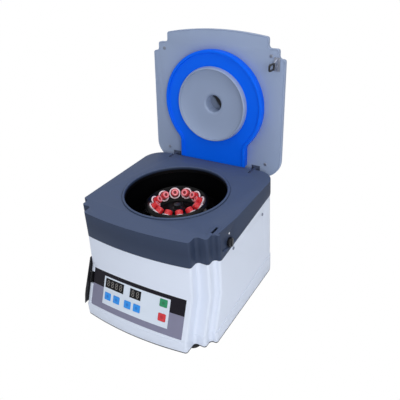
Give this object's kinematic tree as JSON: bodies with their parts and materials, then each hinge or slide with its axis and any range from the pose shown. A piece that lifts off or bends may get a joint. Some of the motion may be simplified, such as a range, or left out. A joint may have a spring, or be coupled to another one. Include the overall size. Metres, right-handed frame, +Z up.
{
  "type": "bench centrifuge",
  "caption": "Bench centrifuge with a stepped two-tone housing, sloped key panel, rear-hinged lid with liner and dish, and an angle rotor holding capped tubes in a round bowl.",
  "frame": {"origin": "on the bench under the middle of the outline with the lid open; the rotor's axis is 7 mm in front of it", "axes": "+Z up, -Y towards the key panel, +X to the side with the latch knob"},
  "size_m": [0.3047, 0.3808, 0.4945],
  "materials": {
    "case_shell": "satin moulded plastic",
    "base_plate": "painted or coated metal",
    "feet": "soft matt rubber",
    "foot_screws": "plain finished steel",
    "deck": "satin moulded plastic",
    "side_screws": "plain finished steel",
    "bowl": "painted or coated metal",
    "bowl_seal": "soft matt rubber",
    "bowl_studs": "plain finished steel",
    "motor_plate": "plain finished steel",
    "dampers": "soft matt rubber",
    "motor": "painted or coated metal",
    "control_board": "matt moulded plastic",
    "key_switches": "matt moulded plastic",
    "power_board": "matt moulded plastic",
    "transformer": "painted or coated metal",
    "panel_overlay": "satin moulded plastic",
    "panel_band": "satin moulded plastic",
    "keypad_membrane": "matt moulded plastic",
    "display_speed": "satin moulded plastic",
    "display_time": "satin moulded plastic",
    "display_digits": "matt moulded plastic",
    "power_inlet": "matt moulded plastic",
    "inlet_pins": "plated contact metal",
    "fuse_holder": "matt moulded plastic",
    "rear_grille": "matt moulded plastic",
    "mains_housing": "matt moulded plastic",
    "latch_plate": "satin moulded plastic",
    "latch_guide": "plain finished steel",
    "lid_switch": "matt moulded plastic",
    "hinge_brackets": "plain finished steel",
    "hinge_pins": "plain finished steel",
    "index_dot": "painted or coated metal",
    "lid_shell": "satin moulded plastic",
    "lid_panel": "satin moulded plastic",
    "lid_liner": "satin moulded plastic",
    "lid_dish": "satin moulded plastic",
    "view_window": "tinted clear plastic",
    "striker_bracket": "plain finished steel",
    "striker_loop": "painted or coated metal",
    "lid_screws": "plain finished steel",
    "hinge_arms": "plain finished steel",
    "drive_shaft": "plain finished steel",
    "rotor_head": "painted or coated metal",
    "tube_sleeves": "matt moulded plastic",
    "tubes": "satin moulded plastic",
    "tube_caps": "matt moulded plastic",
    "rotor_nut": "painted or coated metal",
    "latch_knob": "matt moulded plastic",
    "latch_shaft": "plain finished steel",
    "latch_bolt": "plain finished steel",
    "mains_rocker": "matt moulded plastic",
    "key_speed_down": "matt moulded plastic",
    "key_speed_up": "matt moulded plastic",
    "key_time_down": "matt moulded plastic",
    "key_time_up": "matt moulded plastic",
    "key_start": "matt moulded plastic",
    "key_stop": "matt moulded plastic"
  },
  "bodies": {
    "cabinet": {"case_shell": "case_shell", "base_plate": "base_plate", "feet": "feet", "foot_screws": "foot_screws", "deck": "deck", "side_screws": "side_screws", "bowl": "bowl", "bowl_seal": "bowl_seal", "bowl_studs": "bowl_studs", "motor_plate": "motor_plate", "dampers": "dampers", "motor": "motor", "control_board": "control_board", "key_switches": "key_switches", "power_board": "power_board", "transformer": "transformer", "panel_overlay": "panel_overlay", "panel_band": "panel_band", "keypad_membrane": "keypad_membrane", "display_speed": "display_speed", "display_time": "display_time", "display_digits": "display_digits", "power_inlet": "power_inlet", "inlet_pins": "inlet_pins", "fuse_holder": "fuse_holder", "rear_grille": "rear_grille", "mains_housing": "mains_housing", "latch_plate": "latch_plate", "latch_guide": "latch_guide", "lid_switch": "lid_switch", "hinge_brackets": "hinge_brackets", "hinge_pins": "hinge_pins", "index_dot": "index_dot"},
    "lid": {"lid_shell": "lid_shell", "lid_panel": "lid_panel", "lid_liner": "lid_liner", "lid_dish": "lid_dish", "view_window": "view_window", "striker_bracket": "striker_bracket", "striker_loop": "striker_loop", "lid_screws": "lid_screws", "hinge_arms": "hinge_arms"},
    "rotor": {"drive_shaft": "drive_shaft", "rotor_head": "rotor_head", "tube_sleeves": "tube_sleeves", "tubes": "tubes", "tube_caps": "tube_caps", "rotor_nut": "rotor_nut"},
    "latch_turn": {"latch_knob": "latch_knob", "latch_shaft": "latch_shaft"},
    "latch_slide": {"latch_bolt": "latch_bolt"},
    "rocker": {"mains_rocker": "mains_rocker"},
    "key_speed_down": {"key_speed_down": "key_speed_down"},
    "key_speed_up": {"key_speed_up": "key_speed_up"},
    "key_time_down": {"key_time_down": "key_time_down"},
    "key_time_up": {"key_time_up": "key_time_up"},
    "key_start": {"key_start": "key_start"},
    "key_stop": {"key_stop": "key_stop"}
  },
  "joints": [
    {"name": "lid_hinge", "type": "hinge", "parent": "cabinet", "child": "lid", "pos_m": [0, 0.127, 0.2132], "axis": [1, 0, 0], "range_deg": [0, 94.9]},
    {"name": "rotor_spin", "type": "hinge", "parent": "cabinet", "child": "rotor", "pos_m": [0, -0.007, 0.17], "axis": [0, 0, 1], "continuous": true},
    {"name": "latch_knob_turn", "type": "hinge", "parent": "cabinet", "child": "latch_turn", "pos_m": [0.14, -0.07, 0.1855], "axis": [1, 0, 0], "range_deg": [0, 90]},
    {"name": "latch_bolt_slide", "type": "slide", "parent": "cabinet", "child": "latch_slide", "axis": [1, 0, 0], "range_m": [0, 0.0048]},
    {"name": "mains_rocker_tilt", "type": "hinge", "parent": "cabinet", "child": "rocker", "pos_m": [-0.108, -0.15586, 0.07974], "axis": [0, -0.9276, 0.3735], "range_deg": [0, 16]},
    {"name": "key_speed_down_press", "type": "slide", "parent": "cabinet", "child": "key_speed_down", "axis": [0.0878, 0.9241, -0.372], "range_m": [0, 0.0007], "stiffness_N_per_m": 1200, "springref_m": -0.0002},
    {"name": "key_speed_up_press", "type": "slide", "parent": "cabinet", "child": "key_speed_up", "axis": [0.0568, 0.9261, -0.3729], "range_m": [0, 0.0007], "stiffness_N_per_m": 1200, "springref_m": -0.0002},
    {"name": "key_time_down_press", "type": "slide", "parent": "cabinet", "child": "key_time_down", "axis": [0.0192, 0.9275, -0.3734], "range_m": [0, 0.0007], "stiffness_N_per_m": 1200, "springref_m": -0.0002},
    {"name": "key_time_up_press", "type": "slide", "parent": "cabinet", "child": "key_time_up", "axis": [-0.0107, 0.9276, -0.3735], "range_m": [0, 0.0007], "stiffness_N_per_m": 1200, "springref_m": -0.0002},
    {"name": "key_start_press", "type": "slide", "parent": "cabinet", "child": "key_start", "axis": [-0.0868, 0.9241, -0.3721], "range_m": [0, 0.0007], "stiffness_N_per_m": 1200, "springref_m": -0.0002},
    {"name": "key_stop_press", "type": "slide", "parent": "cabinet", "child": "key_stop", "axis": [-0.0868, 0.9241, -0.3721], "range_m": [0, 0.0007], "stiffness_N_per_m": 1200, "springref_m": -0.0002}
  ],
  "couplings": [
    {"joint": "latch_bolt_slide", "follows": "latch_knob_turn", "m_per_rad": 0.0030558}
  ]
}
